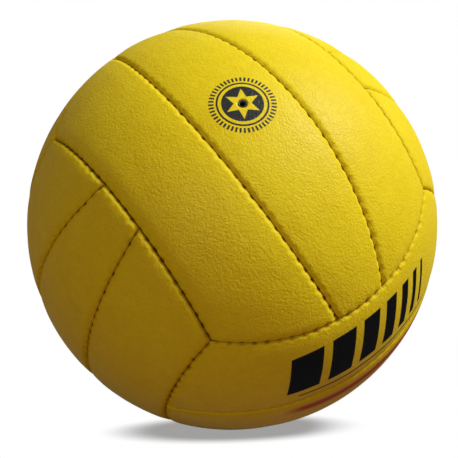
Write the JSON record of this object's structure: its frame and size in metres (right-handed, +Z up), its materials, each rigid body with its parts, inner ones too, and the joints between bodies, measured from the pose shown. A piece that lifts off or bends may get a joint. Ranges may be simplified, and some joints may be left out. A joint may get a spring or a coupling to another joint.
{
  "type": "volleyball",
  "caption": "Stitched volleyball of synthetic leather strips over foam, with a rubber bladder inside and a valve that takes an inflating needle.",
  "frame": {"origin": "centre of the ball", "axes": "+Z up as the ball lies; the valve axis leans from +Z towards -Y, in the YZ plane"},
  "size_m": [0.21, 0.21, 0.21],
  "materials": {
    "cover": "matte embossed synthetic leather",
    "backing": "foam laminated with cloth",
    "thread": "polyester sewing thread",
    "bladder": "matte butyl rubber",
    "valve": "matte black rubber"
  },
  "bodies": {
    "root": {"top_front_panel": "cover", "top_middle_panel": "cover", "top_rear_panel": "cover", "bottom_rear_panel": "cover", "bottom_middle_panel": "cover", "bottom_front_panel": "cover", "right_bottom_panel": "cover", "right_middle_panel": "cover", "right_top_panel": "cover", "left_top_panel": "cover", "left_middle_panel": "cover", "left_bottom_panel": "cover", "rear_left_panel": "cover", "rear_middle_panel": "cover", "rear_right_panel": "cover", "front_right_panel": "cover", "front_middle_panel": "cover", "front_left_panel": "cover", "top_front_backing": "backing", "top_middle_backing": "backing", "top_rear_backing": "backing", "bottom_rear_backing": "backing", "bottom_middle_backing": "backing", "bottom_front_backing": "backing", "right_bottom_backing": "backing", "right_middle_backing": "backing", "right_top_backing": "backing", "left_top_backing": "backing", "left_middle_backing": "backing", "left_bottom_backing": "backing", "rear_left_backing": "backing", "rear_middle_backing": "backing", "rear_right_backing": "backing", "front_right_backing": "backing", "front_middle_backing": "backing", "front_left_backing": "backing", "top_strip_thread": "thread", "bottom_strip_thread": "thread", "right_strip_thread": "thread", "left_strip_thread": "thread", "rear_strip_thread": "thread", "front_strip_thread": "thread", "top_edge_thread": "thread", "bottom_edge_thread": "thread", "right_edge_thread": "thread", "left_edge_thread": "thread", "rear_edge_thread": "thread", "front_edge_thread": "thread", "bladder": "bladder", "valve_housing": "valve", "valve_plug": "valve"}
  },
  "joints": []
}
